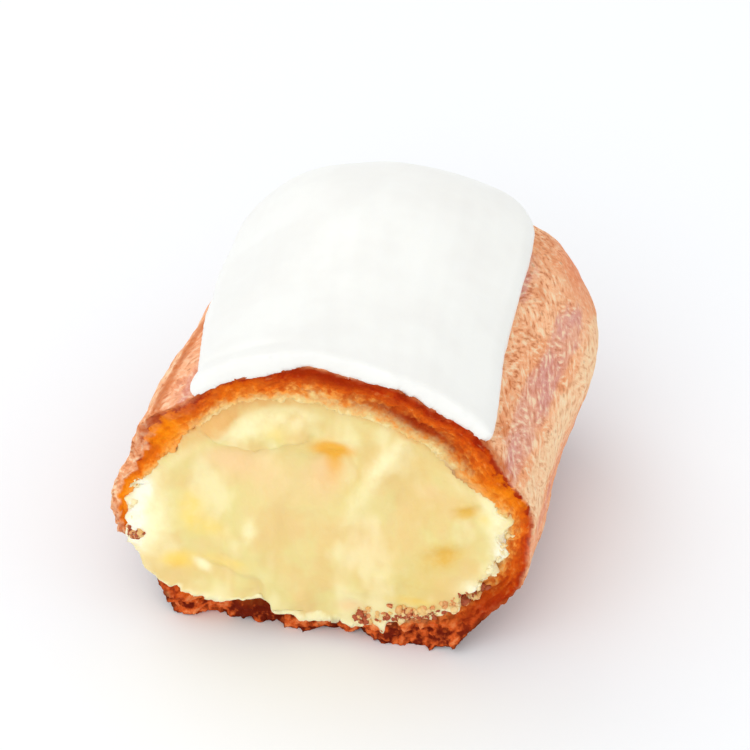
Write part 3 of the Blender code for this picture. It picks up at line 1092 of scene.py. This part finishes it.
@dataclass
class ChouxShell(SolidPiece):
    """The baked shell: outside skin, cut rim, torn base and the hollow that holds the cream.

    Places round the section are degrees, places within the wall are shares of its thickness.
    """

    NODE = "choux_shell"
    NAME = "baked_choux_shell"
    voxel: float = 0.42 * MM
    fine_reach: float = 2.8 * MM
    hidden_from: float = 8.5 * MM
    hidden_keep: float = 0.12
    skin_lumps: Relief = Relief(0.10 * MM, 2.4 * MM, 3.0, 2)
    fibre: float = 0.15 * MM
    fibre_size: float = 1.0 * MM
    fibre_stretch: tuple[float, float, float] = (1.5, 0.6, 0.45)
    rough: float = 0.13 * MM
    rough_size: float = 0.7 * MM
    pore: float = 0.34 * MM
    pore_size: float = 1.0 * MM
    porous: Slope = Slope(0.25, 0.5)
    teeth: Relief = Relief(0.10 * MM, 0.9 * MM, 6.0, 2)
    teeth_depth: Slope = Slope(0.3 * MM, 1.2 * MM)
    teeth_back: Slope = Slope(1.0 * MM, 2.4 * MM)
    cut_back: Slope = Slope(2.5 * MM, 8.0 * MM)
    crag: float = 0.70 * MM
    crag_size: float = 2.1 * MM
    crag_high: float = 5.0 * MM
    crag_back: Slope = Slope(2.0 * MM, 5.0 * MM)
    crag_spread: tuple[float, float] = (0.3, 0.25)
    inner_side: Slope = Slope(0.5, 1.0)
    lip_in: float = 1.6 * MM
    lip_drop: float = 0.28
    foot_out: float = 1.8 * MM
    ridge_high: float = 0.3 * MM
    # Added to the ridge mark: painted highlight at 10 degrees, painted shade at 24 degrees.
    ridges: tuple[Swell, ...] = (Swell(10.0, 6.0), Swell(24.0, 5.0, -0.6))
    rounded_from: Slope = Slope(4.0 * MM, 14.0 * MM)
    curl: Swell = Swell(170.0, 27.0)
    curl_share: Slope = Slope(0.30, 0.42)
    curl_above: Slope = Slope(7.0 * MM, 9.0 * MM)
    curl_ridge: float = 0.45
    curl_thick: float = 0.36
    ragged: Relief = Relief(0.10, 1.2 * MM, 31.0, 2)
    blushes: tuple[Swell, ...] = (Swell(-6.0, 8.0, 0.45), Swell(140.0, 7.0, 0.3))
    far_blush: tuple[Swell, Swell] = (Swell(27.0, 11.0, 0.9), Swell(19.0 * MM, 6.0 * MM))
    # Painted shade in the middle of the torn base, and painted highlight at its left end.
    base_shade_patch: Swell = Swell(-7.0 * MM, 3.6 * MM, 0.65)
    base_left_highlight: Slope = Slope(9.0 * MM, 12.0 * MM)
    left_line: Swell = Swell(145.0, 2.2, 0.50)
    beside_icing: Swell = Swell(-5.0, 7.0, 0.17)
    golden_places: tuple[Swell, ...] = (
        Swell(148.0, 10.0),
        Swell(178.0, 14.0, 0.8),
        Swell(19.0, 9.0, 0.7),
        Swell(118.0, 12.0, 0.3),
    )
    dark_seams: tuple[Seam, ...] = (
        Seam(Swell(54.0, 22.0), Swell(0.60, 0.15)),
        Seam(Swell(58.0, 16.0, 0.70), Swell(0.12, 0.14)),
        Seam(Swell(86.0, 17.0), Swell(0.16, 0.24)),
        Seam(Swell(110.0, 12.0, 0.60), Swell(0.02, 0.10)),
        Seam(Swell(-30.0, 18.0, 0.80), Swell(0.30, 0.35)),
        Seam(Swell(184.0, 9.0, 0.80), Swell(0.92, 0.14)),
        Seam(Swell(30.0, 7.0, 0.50), Swell(0.95, 0.10)),
    )

    def hidden(self, middles: Array, skin: SkinMap) -> Array:
        """Which faces nobody looks at: those of the hollow, well behind the cut."""
        angle, run, distance, _ = skin.polar(middles)
        inside = skin.at(skin.even, angle, run) - distance
        return super().hidden(middles, skin) & (inside > MM)

    def shape(self, piece: Piece, skin: SkinMap) -> None:
        """Snaps the skin to its even form, adds the relief and stores the marks."""
        self.set_mesh(piece, skin)
        at = WallPlaces(piece, skin)
        low = hump(at.points[:, 2], self.crag_high) * self.crag_back.before(at.back)
        fibres = lumps(at.laid / np.array(self.fibre_stretch), self.fibre_size, 9.0, 2)
        grit = crags(at.points, self.rough_size, 12.0)
        holes = self.porous.over(at.share) * pores(at.points, self.pore_size, 4.0)
        torn = crags(at.points, self.crag_size, 2.0)
        cut = (1 - at.on_skin) * self.cut_back.before(at.back)
        height = at.on_skin * self.skin_lumps.lumps(at.points)
        height += cut * (self.fibre * fibres + self.rough * grit - self.pore * holes)
        edge = self.teeth_depth.before(at.depth) * self.teeth_back.before(at.back)
        height += edge * self.teeth.lumps(at.points)
        moved = at.points + at.normals * height[:, None]
        across, upwards = self.crag_spread
        push_x = across * crags(at.points, self.crag_size, 14.0, 2)
        push_z = upwards * crags(at.points, self.crag_size, 22.0, 2)
        moved += np.column_stack((push_x, -torn, push_z)) * (low * self.crag)[:, None]
        moved = self.put_foot_out(self.drop_lip(moved, at.back), at.back)
        inner = (1 - at.on_skin) * self.inner_side.over(at.share)
        moved -= at.out * (inner * skin.thicker(at.points, at.angle))[:, None]
        moved[:, 2] = np.maximum(moved[:, 2], 0.0)
        move_points(piece, moved)
        self.store_marks(piece, skin, at)
        # The shaded relief: painted highlight on crests of crags and fibres, painted shade in
        # hollows and pores.
        x = at.points[:, 0]
        pit = self.base_shade_patch.over(x) - 0.25 * self.base_left_highlight.over(-x)
        shaded_relief = np.where(low > 0.3, torn - pit, 0.5 * fibres + 0.5 * grit - holes)
        mark(piece, "shaded_relief", np.clip(shaded_relief, -1.0, 1.0))
        mark(piece, "torn", np.clip(low * (1 - at.on_skin * 0.4) * 1.4 - 0.1, 0.0, 1.0))

    def store_marks(self, piece: Piece, skin: SkinMap, at: WallPlaces) -> None:
        """Stores where crumb, painted ridge light and shade, browning, blushes and seams show."""
        beside = self.curl.over(at.turn)
        ragged = at.share + self.ragged.lumps(at.points)
        curled = beside * self.curl_share.before(ragged) * self.curl_above.over(at.points[:, 2])
        share = at.share - self.curl_thick * beside * (1 - at.share)
        rounded = self.rounded_from.over(at.run - skin.TAPER_Y)
        # The ridge mark: painted highlight on crests, painted shade in valleys, a little highlight
        # on the curl.
        ridge = (at.outer - skin.at(skin.broad, at.angle, at.run)) / self.ridge_high
        ridge += sum(swell.over(at.turn) for swell in self.ridges)
        ridge = ridge * (1 - rounded) * (1 - beside) + self.curl_ridge * beside
        around, along = self.far_blush
        blush = sum(swell.over(at.turn) for swell in self.blushes)
        blush += around.over(at.turn) * along.over(at.run)
        browned = self.browned(at, skin) * (1 - 0.9 * beside * (at.back < MM))
        for name, values in (
            ("laid", at.laid),
            ("opened", (1 - at.on_skin) * (1 - curled)),
            ("inwards", np.clip(share * (1 - at.on_skin), 0.0, 1.3)),
            ("rounded", rounded),
            ("ridge", np.clip(ridge, -1.5, 1.5)),
            ("blush", blush),
            ("browned", browned),
            ("golden", sum(swell.around(at.turn) for swell in self.golden_places)),
            ("seam", self.seams(share, at.turn)),
        ):
            mark(piece, name, values)

    def drop_lip(self, points: Array, back: Array) -> Array:
        """Lowers the left end of the torn base, as the cream there hangs over it."""
        x, z = points[:, 0] / MM, points[:, 2] / MM
        left = rise(-x, 8.0, 18.0) * (1 - rise(z, 8.2, 9.6))
        share = left * (1 - rise(back, 2.0 * MM, 6.0 * MM))
        inwards = self.lip_in * share * rise(z, 1.0, 6.0)
        return points + np.column_stack((inwards, 0 * x, -self.lip_drop * share * points[:, 2]))

    def put_foot_out(self, points: Array, back: Array) -> Array:
        """Brings the right half of the torn base forward, where the photograph has it."""
        x, z = points[:, 0] / MM, points[:, 2] / MM
        foot = rise(x, 2.0, 7.0) * (1 - rise(x, 23.0, 27.0)) * (1 - rise(z, 3.5, 10.0))
        foot = foot * (1 - rise(back, 1.5 * MM, 7.0 * MM))
        return points - np.column_stack((0 * x, self.foot_out * foot, 0 * x))

    def seams(self, share: Array, turn: Array) -> Array:
        """How dark the strongest baked band is at each vertex."""
        bands = [seam.around.around(turn) * seam.within.over(share) for seam in self.dark_seams]
        return np.max(bands, axis=0)

    def browned(self, at: WallPlaces, skin: SkinMap) -> Array:
        """How darkly the skin is baked: hardly on top, and fully where it lay on the sheet."""
        x, y, z = at.points.T
        unseen = np.maximum(rise(-x, -6 * MM, 12 * MM), rise(y, 8 * MM, 20 * MM))
        unseen = unseen * rise(at.back, 3 * MM, 12 * MM)
        down = 1 - rise(z / (1 + 0.55 * unseen), 0.5 * MM, 14.0 * MM)
        left = self.left_line.over(at.turn) * (1 - rise(at.back, 14 * MM, 30 * MM))
        beside_icing = self.beside_icing.over(at.turn - skin.icing_edge(at.back))
        at_cut = 0.25 + 0.4 * rise(at.turn, 30.0, 40.0)
        at_cut *= 1 - rise(at.back, 0.2 * MM, 1.0 * MM)
        return np.clip(1.15 * down + left + beside_icing + at_cut, 0.0, 1.3)


@dataclass
class CreamFilling(SolidPiece):
    """The vanilla cream, which fills the shell and swells out of its cut."""

    NODE = "vanilla_cream"
    NAME = "vanilla_cream_filling"
    SLOT = Slot.CREAM
    soften_turns: int = 8
    off_floor: float = 0.02 * MM
    faces_front: Slope = Slope(0.2, 0.7)
    fill_out: float = 0.95 * MM
    fill_uneven: Relief = Relief(0.55 * MM, 1.6 * MM, 15.0, 2)
    fill_less: Swell = Swell(52.0, 24.0, 0.7)
    fill_more: Swell = Swell(128.0, 20.0, 0.5 * MM)
    swell: Relief = Relief(0.30 * MM, 5.0 * MM, 5.0, 2)
    swell_stretch: tuple[float, float, float] = (1.0, 0.3, 0.6)
    ripple: Relief = Relief(0.10 * MM, 1.8 * MM, 21.0)
    curd: float = 0.30 * MM
    curd_size: float = 1.2 * MM
    ledge_tip: tuple[float, float] = (-7.5, 24.7)
    ledge_left: tuple[float, float] = (-13.0, 27.0)
    ledge_right: tuple[float, float] = (-1.6, 27.7)
    ledge: float = 0.9 * MM
    ledge_notches: Relief = Relief(0.35, 1.5 * MM, 18.0)
    ledge_top: Slope = Slope(1.6, 4.5)
    ledge_foot: Slope = Slope(-0.30, 0.60)
    hang: float = 1.3 * MM
    soaked: tuple[tuple[Swell, float], ...] = (
        (Swell(126.0, 26.0, 1.1), 3.2 * MM),
        (Swell(68.0, 36.0, 0.9), 2.8 * MM),
    )
    folds: tuple[Fold, ...] = (
        Fold((9.8, 29.4), (3.0, 17.5), 1.5, 0.40),
        Fold((6.6, 27.6), (1.0, 19.0), 1.1, -0.30),
        Fold((12.5, 27.0), (8.0, 17.0), 1.6, -0.30),
        Fold((16.5, 23.0), (12.0, 14.0), 1.4, 0.25),
        Fold((-1.2, 27.6), (5.0, 28.2), 0.7, 0.28),
        Fold((-14.0, 10.2), (-6.6, 8.4), 0.7, -0.45),
        Fold((-6.4, 8.6), (-6.0, 4.0), 0.7, -0.60),
        Fold((-19.0, 7.2), (-7.0, 5.4), 0.9, 0.35),
        Fold((14.8, 19.6), (18.2, 20.6), 0.5, -0.30),
        Fold((12.5, 13.8), (17.0, 15.4), 0.7, -0.30),
    )
    egg: tuple[Patch, ...] = (
        Patch(0.9, 26.2, 2.2, 1.5, 0.95, -0.10),
        Patch(1.2, 23.8, 1.1, 2.8, 0.62),
        Patch(3.0, 26.0, 1.6, 1.2, 0.25),
        Patch(-15.8, 9.6, 1.5, 1.0, 0.30),
    )
    peach: tuple[Patch, ...] = (
        Patch(-10.5, 23.6, 3.2, 1.8, 0.75, -0.1),
        Patch(-5.0, 21.5, 5.5, 3.2, 0.55),
        Patch(0.4, 22.6, 1.8, 3.2, 0.6),
        Patch(12.2, 21.6, 2.2, 1.6, 0.5),
        Patch(3.8, 5.6, 1.8, 1.2, 0.7),
        Patch(5.0, 16.0, 5.0, 5.0, 0.35),
    )
    # Pale cream and curd; painted highlights at (-13, 9.6), (-7.4, 15.5) and the lobe rims (-12.5,
    # 5.4), (-1, 3.4).
    pale: tuple[Patch, ...] = (
        Patch(-8.0, 28.8, 4.6, 2.0, 0.7, 0.30),
        Patch(-2.0, 30.5, 3.0, 1.4, 0.4),
        Patch(-19.4, 15.5, 3.2, 5.2, 0.9),
        Patch(-7.4, 15.5, 1.1, 1.8, 0.6),
        Patch(-13.0, 9.6, 1.1, 0.8, 0.9, -0.6),
        Patch(19.8, 18.0, 1.4, 3.0, 0.6),
        Patch(18.0, 10.0, 2.6, 2.0, 0.6),
        Patch(-12.5, 5.4, 5.0, 0.8, 0.6),
        Patch(-1.0, 3.4, 4.0, 0.8, 0.6),
    )
    curds: tuple[Patch, ...] = (
        Patch(-20.6, 14.6, 1.5, 3.8, 0.95),
        Patch(-19.6, 19.0, 1.2, 1.6, 0.6),
        Patch(20.6, 15.0, 1.2, 4.4, 0.7),
        Patch(18.4, 9.6, 1.8, 1.6, 0.5),
    )
    # Painted highlights along the cream's raised folds.
    highlight_strokes: tuple[Fold, ...] = (
        Fold((10.4, 30.0), (5.6, 23.6), 1.1, 0.50),
        Fold((7.2, 25.6), (3.0, 16.5), 1.6, 0.42),
        Fold((17.0, 24.6), (20.2, 19.0), 1.0, 0.55),
        Fold((13.8, 25.0), (16.6, 22.0), 0.8, 0.30),
        Fold((-17.4, 22.0), (-13.6, 25.6), 0.8, 0.40),
    )
    yellow: tuple[Patch, ...] = (
        Patch(-14.4, 17.0, 2.0, 2.4, 0.6),
        Patch(-12.0, 14.6, 2.6, 1.4, 0.5),
        Patch(-15.6, 10.2, 2.2, 1.4, 0.8),
        Patch(-10.0, 10.6, 3.0, 1.2, 0.5),
        Patch(-5.0, 28.6, 1.6, 1.4, 0.5),
        Patch(-20.2, 18.4, 0.8, 0.8, 0.6),
        Patch(19.2, 19.0, 1.6, 1.2, 0.6),
        Patch(11.0, 7.4, 3.0, 1.0, 0.6),
    )
    blotch: tuple[Patch, ...] = (
        Patch(16.5, 20.0, 1.6, 1.0, 0.8, 0.1),
        Patch(14.4, 14.4, 2.6, 1.9, 0.7, 0.2),
        Patch(-19.0, 10.2, 1.2, 0.8, 0.4),
        # This broad, weak patch makes the lower right of the face darker and more golden.
        Patch(11.0, 9.6, 6.0, 4.0, 0.34),
        Patch(11.0, 22.0, 2.0, 3.0, 0.16),
    )

    def shape(self, piece: Piece, skin: SkinMap) -> None:
        """Fills the hollow out, gives the cut face its relief and stores the marks."""
        self.set_mesh(piece, skin)
        soften(piece, self.soften_turns)
        points, normals = points_of(piece), normals_of(piece)
        angle, run, distance, out = skin.polar(points)
        inner = skin.at(skin.hollow, angle, run) - distance
        push = self.filled_out(points, np.sum(normals * out, axis=1), angle, inner, skin)
        points = points + out * push[:, None]
        face = self.faces_front.over(-normals[:, 1])
        points = points + normals * (face * self.relief(points, inner))[:, None]
        x, z = points[:, 0] / MM, points[:, 2] / MM
        points[:, 2] -= self.hang * hump(x + 16.0, 4.5) * hump(z - 5.5, 3.0)
        points[:, 2] = np.maximum(points[:, 2], self.off_floor)
        move_points(piece, points)
        # Painted highlight along the lobes' lower rims, where the face turns down.
        lip = rise(-normals[:, 2], 0.15, 0.6) * (1 - rise(points[:, 2], 6 * MM, 9 * MM))
        self.store_marks(piece, points, np.degrees(angle), inner, lip)

    def filled_out(
        self, points: Array, facing: Array, angle: Array, inner: Array, skin: SkinMap
    ) -> Array:
        """How far the cream is pushed out, so that it fills the hollow unevenly to its wall."""
        x, z = points[:, 0], points[:, 2]
        sideways = rise(facing, 0.25, 0.8) * rise(z, 1.0 * MM, 3.5 * MM)
        at_rim = 0.9 * (1 - rise(inner, 0.2 * MM, 1.6 * MM)) * rise(z, 4 * MM, 6 * MM)
        sideways = np.maximum(sideways, at_rim)
        bare = rise(-x, 14 * MM, 17 * MM) * (1 - rise(z, 10 * MM, 12 * MM))
        sideways *= 1 - bare * (1 - hump(z - 7.0 * MM, 2.0 * MM))
        push = self.fill_out + self.fill_uneven.lumps(points)
        push *= 1 - self.fill_less.over(np.degrees(angle))
        push += self.fill_more.over(np.degrees(angle))
        return sideways * (push - skin.thicker(points, angle))

    def relief(self, points: Array, inner: Array) -> Array:
        """How high the cut face stands at each point: swells, folds, ledge and curds."""
        height = self.swell.lumps(points * np.array(self.swell_stretch))
        height += self.ripple.lumps(points)
        height += sum(fold.over(points) for fold in self.folds)
        height += self.ledge * self.over_ledge(points)
        rim = 1 - rise(inner, 0.4 * MM, 2.4 * MM)
        crumbly = np.clip(together(self.curds, points) + 0.25, 0, 1)
        return height + rim * crumbly * self.curd * crags(points, self.curd_size, 8.0)

    def store_marks(
        self, piece: Piece, points: Array, turn: Array, inner: Array, lip: Array
    ) -> None:
        """Stores where the finish shows stains, painted highlight strokes, curds and soaked crumb.
        """
        strokes = sum(stroke.over(points) for stroke in self.highlight_strokes) / MM
        soaked = np.zeros_like(turn)
        for place, reach in self.soaked:
            soaked += place.over(turn) * (1 - rise(inner, 0.4 * MM, reach))
        mark(piece, "soaked", np.clip(soaked, 0.0, 1.0))
        for name in ("egg", "peach", "yellow", "blotch", "curds"):
            mark(piece, name, together(getattr(self, name), points))
        # The pale mark: pale cream and curd with the painted highlight spots, strokes and lip.
        mark(piece, "pale", np.maximum(together(self.pale, points) + strokes, 0.9 * lip))

    def over_ledge(self, points: Array) -> Array:
        """How much of the ledge stands at each point: a lip of cream with a notched lower edge."""
        x, z = points[:, 0] / MM, points[:, 2] / MM
        corners = np.array((self.ledge_left, self.ledge_tip, self.ledge_right))
        edge = np.interp(x, corners[:, 0], corners[:, 1])
        edge = edge + self.ledge_notches.lumps(points)
        above = self.ledge_foot.over(z - edge) * self.ledge_top.before(z - edge)
        return above * rise(x, -14.5, -11.0) * (1 - rise(x, -2.6, 0.4))


@dataclass
class IcingBand(SolidPiece):
    """The white icing, poured along the top and cut through with the eclair."""

    NODE = "white_icing"
    NAME = "white_icing_band"
    SLOT = Slot.ICING
    voxel: float = 0.34 * MM
    soften_turns: int = 70
    sink: float = 0.75 * MM
    ripple: Relief = Relief(0.10 * MM, 6.0 * MM, 7.0)
    wobble: Relief = Relief(0.12 * MM, 3.0 * MM, 17.0, 2)
    edge_backs: tuple[float, ...] = (0, 6, 12, 16, 20, 24, 27, 30, 33, 37, 41)
    edge_shifts: tuple[float, ...] = (1.0, 0.6, 0.3, 0.1, -0.2, -0.6, -0.7, -0.4, 0.1, 1.0, 1.8)
    edge_reach: float = 6.0
    corner_left: Swell = Swell(129.0, 5.0, -0.9 * MM)
    corner_back: float = 3.0 * MM
    corner_forward: Swell = Swell(129.0, 4.5, 0.7 * MM)
    forward_back: float = 1.6 * MM
    corner_far: tuple[float, float, float] = (1.2 * MM, 0.5 * MM, 0.0)
    far_turn: Swell = Swell(48.0, 10.0)
    far_back: Swell = Swell(44.5 * MM, 4.5 * MM)
    crease: Swell = Swell(2.4 * MM, 0.8 * MM, 0.22 * MM)
    crease_left: Slope = Slope(math.radians(95), math.radians(108))

    def shape(self, piece: Piece, skin: SkinMap) -> None:
        """Sinks its underside into the shell, ripples it and places its edges."""
        remesh(piece, self.voxel)
        soften(piece, self.soften_turns)
        points, normals = points_of(piece), normals_of(piece)
        angle, _, _, out = skin.polar(points)
        facing = np.sum(normals * out, axis=1)
        under, over = rise(-facing, 0.0, 0.6), rise(facing, 0.2, 0.7)
        points = points - out * (under * self.sink)[:, None]
        height = over * self.ripple.lumps(points)
        back = points[:, 1] - skin.cut_at(points)
        height -= over * self.crease_left.over(angle) * self.crease.over(back)
        height += (1 - over) * (1 - under) * self.wobble.lumps(points)
        self.place_edges(piece, points + normals * height[:, None], angle, out, skin)

    def place_edges(
        self, piece: Piece, points: Array, angle: Array, out: Array, skin: SkinMap
    ) -> None:
        """Moves the right edge and the corners to where the photograph has them."""
        around = np.column_stack((np.sin(angle), 0 * angle, -np.cos(angle)))
        turn = np.degrees(angle)
        back = np.maximum(points[:, 1] - skin.cut_at(points), 0.0)
        shift = np.interp(back / MM, self.edge_backs, self.edge_shifts) * MM
        moved = shift * hump(turn - skin.icing_edge(back), self.edge_reach)
        moved += self.corner_left.over(turn) * hump(back, self.corner_back)
        points += around * moved[:, None]
        points += out * skin.eased(points, angle)[:, None]
        far = self.far_turn.over(turn) * self.far_back.over(back)
        points += np.array(self.corner_far) * far[:, None]
        forward = points[:, 1] - self.corner_forward.over(turn) * hump(back, self.forward_back)
        points[:, 1] = np.maximum(forward, np.minimum(points[:, 1], skin.cut_at(points)))
        move_points(piece, points)


@dataclass(frozen=True)
class CrumbBand:
    """A strip of the cut face with loose crumbs: a line through X and Z in millimetres.

    The tone goes from pale to red brown, and sunk is the share of its size a crumb sinks in.
    """

    line: tuple[tuple[float, float], ...]
    half_width: float
    count: int
    tone: tuple[float, float]
    sunk: float = 0.15


@dataclass
class LooseCrumbs:
    """Small crumbs of the inner dough that cling where the cream meets the torn wall."""

    smallest: float = 0.16 * MM
    largest: float = 0.50 * MM
    seed: int = 7
    looked_from: float = -60.0 * MM
    bands: tuple[CrumbBand, ...] = (
        CrumbBand(((-20.4, 20.0), (-21.2, 15.5), (-20.6, 12.0)), 0.9, 14, (0.0, 0.3), 0.50),
        CrumbBand(((-21.4, 13.4), (-20.4, 13.0), (-19.2, 13.9)), 0.35, 34, (0.5, 1.3)),
        CrumbBand(((21.0, 18.5), (20.8, 14.5), (18.5, 10.0)), 0.8, 28, (0.0, 0.4), 0.40),
        CrumbBand(((18.6, 8.6), (13.5, 5.6), (8.0, 4.2), (4.5, 3.6)), 0.9, 100, (0.3, 1.3)),
        CrumbBand(((17.6, 9.6), (13.5, 6.6), (8.0, 5.2), (5.0, 4.8)), 0.7, 34, (0.4, 1.0)),
    )

    def build(self, targets: Sequence[Piece], material: Material) -> None:
        """Makes one crumb, copies it along the bands and joins the copies.

        Args:
            targets: The pieces that carry the crumbs.
            material: Their finish.
        """
        tree = BVHTree.FromPolygons(*self.surface(targets))
        random = np.random.default_rng(self.seed)
        bpy.ops.object.select_all(action="DESELECT")
        bpy.ops.mesh.primitive_ico_sphere_add(subdivisions=2, radius=1.0)
        pattern = bpy.context.object
        shape = points_of(pattern)
        made = []
        for band in self.bands:
            for _ in range(band.count):
                x, z = self.place(band, random)
                hit = tree.ray_cast(Vector((x, self.looked_from, z)), Vector((0, 1, 0)))[0]
                if hit is None:
                    continue
                made.append(self.crumb(pattern, shape, hit, random, band))
        bpy.data.objects.remove(pattern)
        select_only(made[0])
        for crumb in made:
            crumb.select_set(True)
        bpy.ops.object.join()
        piece = bpy.context.object
        piece.name = "loose_choux_crumbs"
        finish_piece(piece, material, None)

    @staticmethod
    def surface(targets: Sequence[Piece]) -> tuple[list[Vector], list[list[int]]]:
        """All points and faces of some pieces in one list each."""
        points: list[Vector] = []
        faces: list[list[int]] = []
        for target in targets:
            first = len(points)
            points += [v.co.copy() for v in target.data.vertices]
            faces += [[first + i for i in p.vertices] for p in target.data.polygons]
        return points, faces

    @staticmethod
    def place(band: CrumbBand, random: np.random.Generator) -> tuple[float, float]:
        """A random place on a band, as X and Z in metres."""
        line = np.array(band.line)
        steps = np.linalg.norm(np.diff(line, axis=0), axis=1)
        along = np.concatenate(((0.0,), np.cumsum(steps)))
        way = random.random() * along[-1]
        off = random.normal(0.0, band.half_width / 2, 2)
        x = np.interp(way, along, line[:, 0]) + off[0]
        z = np.interp(way, along, line[:, 1]) + off[1]
        return x * MM, z * MM

    def crumb(
        self,
        pattern: Piece,
        shape: Array,
        hit: Vector,
        random: np.random.Generator,
        band: CrumbBand,
    ) -> Piece:
        """One crumb with its own mesh, uneven and turned its own way, a little sunk in."""
        size = self.smallest + (self.largest - self.smallest) * random.random() ** 2
        copy = pattern.copy()
        copy.data = pattern.data.copy()
        bpy.context.scene.collection.objects.link(copy)
        seed = random.random() * 50
        uneven = 1 + 0.45 * lumps(shape, 0.9, seed) + 0.14 * lumps(shape, 0.4, seed)
        stretch = random.uniform(0.6, 1.3, 3)
        turned = Matrix.Rotation(random.random() * math.tau, 3, Vector(random.normal(size=3)))
        points = (shape * uneven[:, None] * stretch) @ np.array(turned) * size
        points += np.array(hit) + np.array((0.0, size * band.sunk, 0.0))
        move_points(copy, points)
        mark(copy, "tone", np.full(len(points), random.uniform(*band.tone)))
        return copy


# ---------------------------------------------------------------- studio


@dataclass
class Studio:
    """A white table under broad soft light, seen from the photograph's side and height."""

    azimuth: float = 17.0
    elevation: float = 40.5
    distance: float = 450.0 * MM
    aimed_at: tuple[float, float, float] = (0.0, -22.1 * MM, 18.0 * MM)
    frame_width: float = 87.0 * MM
    sensor: float = 36.0
    floor_size: float = 4.0
    sky: float = 0.88
    sky_colour: str = "#FDFEFF"
    key_power: float = 0.8
    key_size: float = 0.45
    key_place: tuple[float, float, float] = (-0.45, 0.30, 0.62)
    fill_power: float = 1.0
    fill_size: float = 0.6
    fill_place: tuple[float, float, float] = (-0.16, -0.50, 0.66)
    low_power: float = 1.05
    low_size: float = 0.7
    low_place: tuple[float, float, float] = (0.08, -0.80, 0.30)

    def build(self) -> None:
        """Adds the floor, the light and the camera."""
        self.lay_floor()
        self.light("window_light", self.key_place, self.key_size, self.key_power)
        self.light("front_light", self.fill_place, self.fill_size, self.fill_power)
        self.light("low_light", self.low_place, self.low_size, self.low_power)
        world = bpy.data.worlds.new("white_room")
        world.use_nodes = True
        background = world.node_tree.nodes["Background"]
        background.inputs["Color"].default_value = linear(self.sky_colour)
        background.inputs["Strength"].default_value = self.sky
        bpy.context.scene.world = world
        bpy.context.scene.view_settings.view_transform = "Standard"
        self.set_camera()

    def lay_floor(self) -> None:
        """Adds the table top."""
        bpy.ops.object.select_all(action="DESELECT")
        bpy.ops.mesh.primitive_plane_add(size=self.floor_size, location=(0.0, 0.0, 0.0))
        floor = bpy.context.object
        floor.name = "white_table"
        floor.data.materials.append(PaleTable().make())
        floor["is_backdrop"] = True

    @staticmethod
    def light(name: str, place: tuple[float, float, float], size: float, power: float) -> None:
        """Adds a soft square light that looks at the piece."""
        bpy.ops.object.light_add(type="AREA", location=place)
        made = bpy.context.object
        made.name = name
        made.data.size = size
        made.data.energy = power
        made.rotation_euler = (-Vector(place)).to_track_quat("-Z", "Y").to_euler()

    def set_camera(self) -> None:
        """Adds the camera where the photograph was taken from, aimed at the piece's middle."""
        across, up = math.radians(self.azimuth), math.radians(self.elevation)
        back = Vector(
            (math.sin(across) * math.cos(up), -math.cos(across) * math.cos(up), math.sin(up))
        )
        eye = Vector(self.aimed_at) + back * self.distance
        low, high = (Vector(corner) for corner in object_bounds())
        middle = (low + high) / 2
        bpy.ops.object.camera_add(location=eye)
        camera = bpy.context.object
        camera.name = "photo_camera"
        camera.rotation_euler = (middle - eye).to_track_quat("-Z", "Y").to_euler()
        camera.data.sensor_width = self.sensor
        camera.data.lens = self.sensor * (middle - eye).length / self.frame_width
        camera.data.clip_start = 0.01
        bpy.context.scene.camera = camera


def main() -> None:
    """Builds the pieces in order, then the studio round them."""
    logging.basicConfig(level=logging.INFO, format="%(name)s: %(message)s")
    skin = SkinMap("choux_shell")
    LOG.info("skin read: %d rows", skin.rows)
    shell = ChouxShell().build(skin, BakedChoux().make())
    cream = CreamFilling().build(skin, VanillaCream().make())
    IcingBand().build(skin, WhiteIcing().make())
    LooseCrumbs().build((shell, cream), LooseCrumb().make())
    Studio().build()
    LOG.info("sizes written")


if __name__ == "__main__":
    main()
